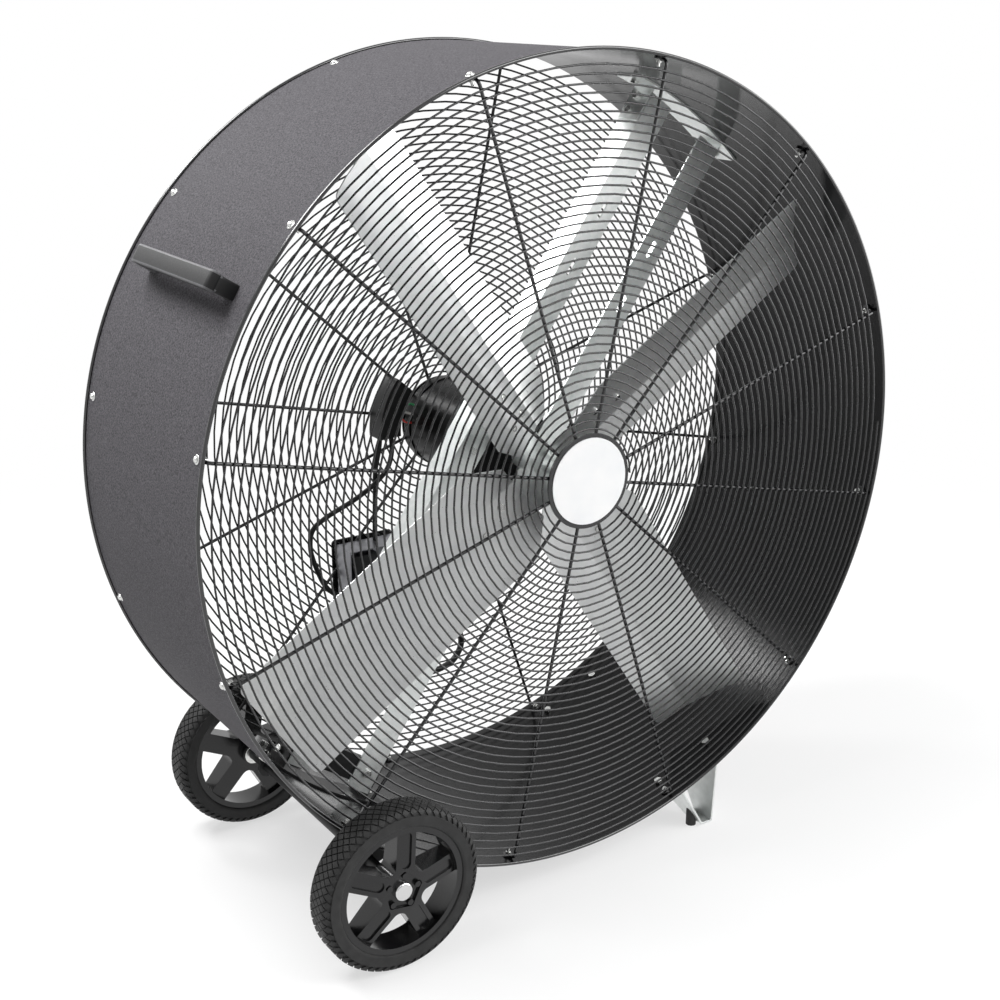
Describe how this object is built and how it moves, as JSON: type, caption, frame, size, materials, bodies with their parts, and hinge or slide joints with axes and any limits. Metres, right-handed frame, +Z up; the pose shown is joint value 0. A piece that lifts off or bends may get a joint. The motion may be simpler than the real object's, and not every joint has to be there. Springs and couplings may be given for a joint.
{
  "type": "drum fan",
  "caption": "Wheeled drum fan: a wide rolled drum with wire guards, bent sheet blades driven directly by a central motor, a carrying handle, two wheels and two feet.",
  "frame": {"origin": "on the floor under the middle of the drum, halfway along its depth", "axes": "+X to the right seen from the front, +Y along the fan's axis towards the rear (air leaves towards -Y), +Z up"},
  "size_m": [1.22, 0.553, 1.2648],
  "materials": {
    "drum_paint": "fine textured satin, charcoal",
    "guard_wire": "semi-gloss black",
    "badge_face": "gloss white, blank",
    "zinc": "zinc plated",
    "galvanised": "galvanised, satin",
    "black_steel": "satin black",
    "motor_paint": "satin black",
    "core_steel": "laminated steel with copper windings",
    "bright_steel": "ground steel",
    "chrome": "bright",
    "grip": "matt dark grey",
    "rubber": "matt black",
    "black_plastic": "satin black",
    "lead_insulation": "red, white and green insulation",
    "knob": "gloss black",
    "tyre": "matt black with a diamond tread",
    "blade_sheet": "mill finish"
  },
  "bodies": {
    "frame": {"drum_shell": "drum_paint", "front_guard_spiral": "guard_wire", "rear_guard_spiral": "guard_wire", "front_guard_frame": "guard_wire", "rear_guard_frame": "guard_wire", "front_guard_plate": "guard_wire", "rear_guard_plate": "guard_wire", "front_badge": "badge_face", "guard_screws": "zinc", "guard_nuts": "zinc", "left_strut": "galvanised", "right_strut": "galvanised", "upper_strut_saddle": "black_steel", "lower_strut_saddle": "black_steel", "lower_brace": "black_steel", "strut_bolts": "zinc", "motor_frame": "motor_paint", "motor_front_bell": "motor_paint", "motor_rear_bell": "motor_paint", "motor_stator": "core_steel", "motor_bearings": "bright_steel", "motor_bolts": "zinc", "axle": "black_steel", "front_axle_bracket": "black_steel", "rear_axle_bracket": "black_steel", "axle_bracket_bolts": "zinc", "axle_washers": "zinc", "axle_caps": "chrome", "handle": "grip", "handle_bolts": "zinc", "front_foot_bracket": "galvanised", "rear_foot_bracket": "galvanised", "front_foot_pad": "rubber", "rear_foot_pad": "rubber", "foot_bolts": "zinc", "switch_box": "galvanised", "switch_body": "black_plastic", "switch_cover": "black_steel", "switch_screws": "zinc", "supply_gland": "black_plastic", "wiring_box": "black_plastic", "motor_leads": "lead_insulation", "switch_cables": "rubber", "cord_hook": "black_plastic"},
    "fan_rotor": {"motor_shaft": "bright_steel", "rotor_core": "core_steel", "fan_hub": "black_steel", "blade_1": "blade_sheet", "blade_2": "blade_sheet", "blade_3": "blade_sheet", "blade_4": "blade_sheet", "blade_rivets": "zinc", "hub_bolt": "zinc"},
    "front_wheel": {"front_tyre": "tyre", "front_wheel_rim": "black_plastic"},
    "rear_wheel": {"rear_tyre": "tyre", "rear_wheel_rim": "black_plastic"},
    "speed_knob": {"switch_knob": "knob"}
  },
  "joints": [
    {"name": "fan_spin", "type": "hinge", "parent": "frame", "child": "fan_rotor", "pos_m": [0, 0, 0.655], "axis": [0, 1, 0], "continuous": true},
    {"name": "front_wheel_spin", "type": "hinge", "parent": "frame", "child": "front_wheel", "pos_m": [-0.36, -0.25, 0.127], "axis": [0, 1, 0], "continuous": true},
    {"name": "rear_wheel_spin", "type": "hinge", "parent": "frame", "child": "rear_wheel", "pos_m": [-0.36, 0.25, 0.127], "axis": [0, 1, 0], "continuous": true},
    {"name": "speed_select", "type": "hinge", "parent": "frame", "child": "speed_knob", "pos_m": [-0.16699, 0.2123, 0.43538], "axis": [0, 1, 0], "range_deg": [0, 90]}
  ]
}
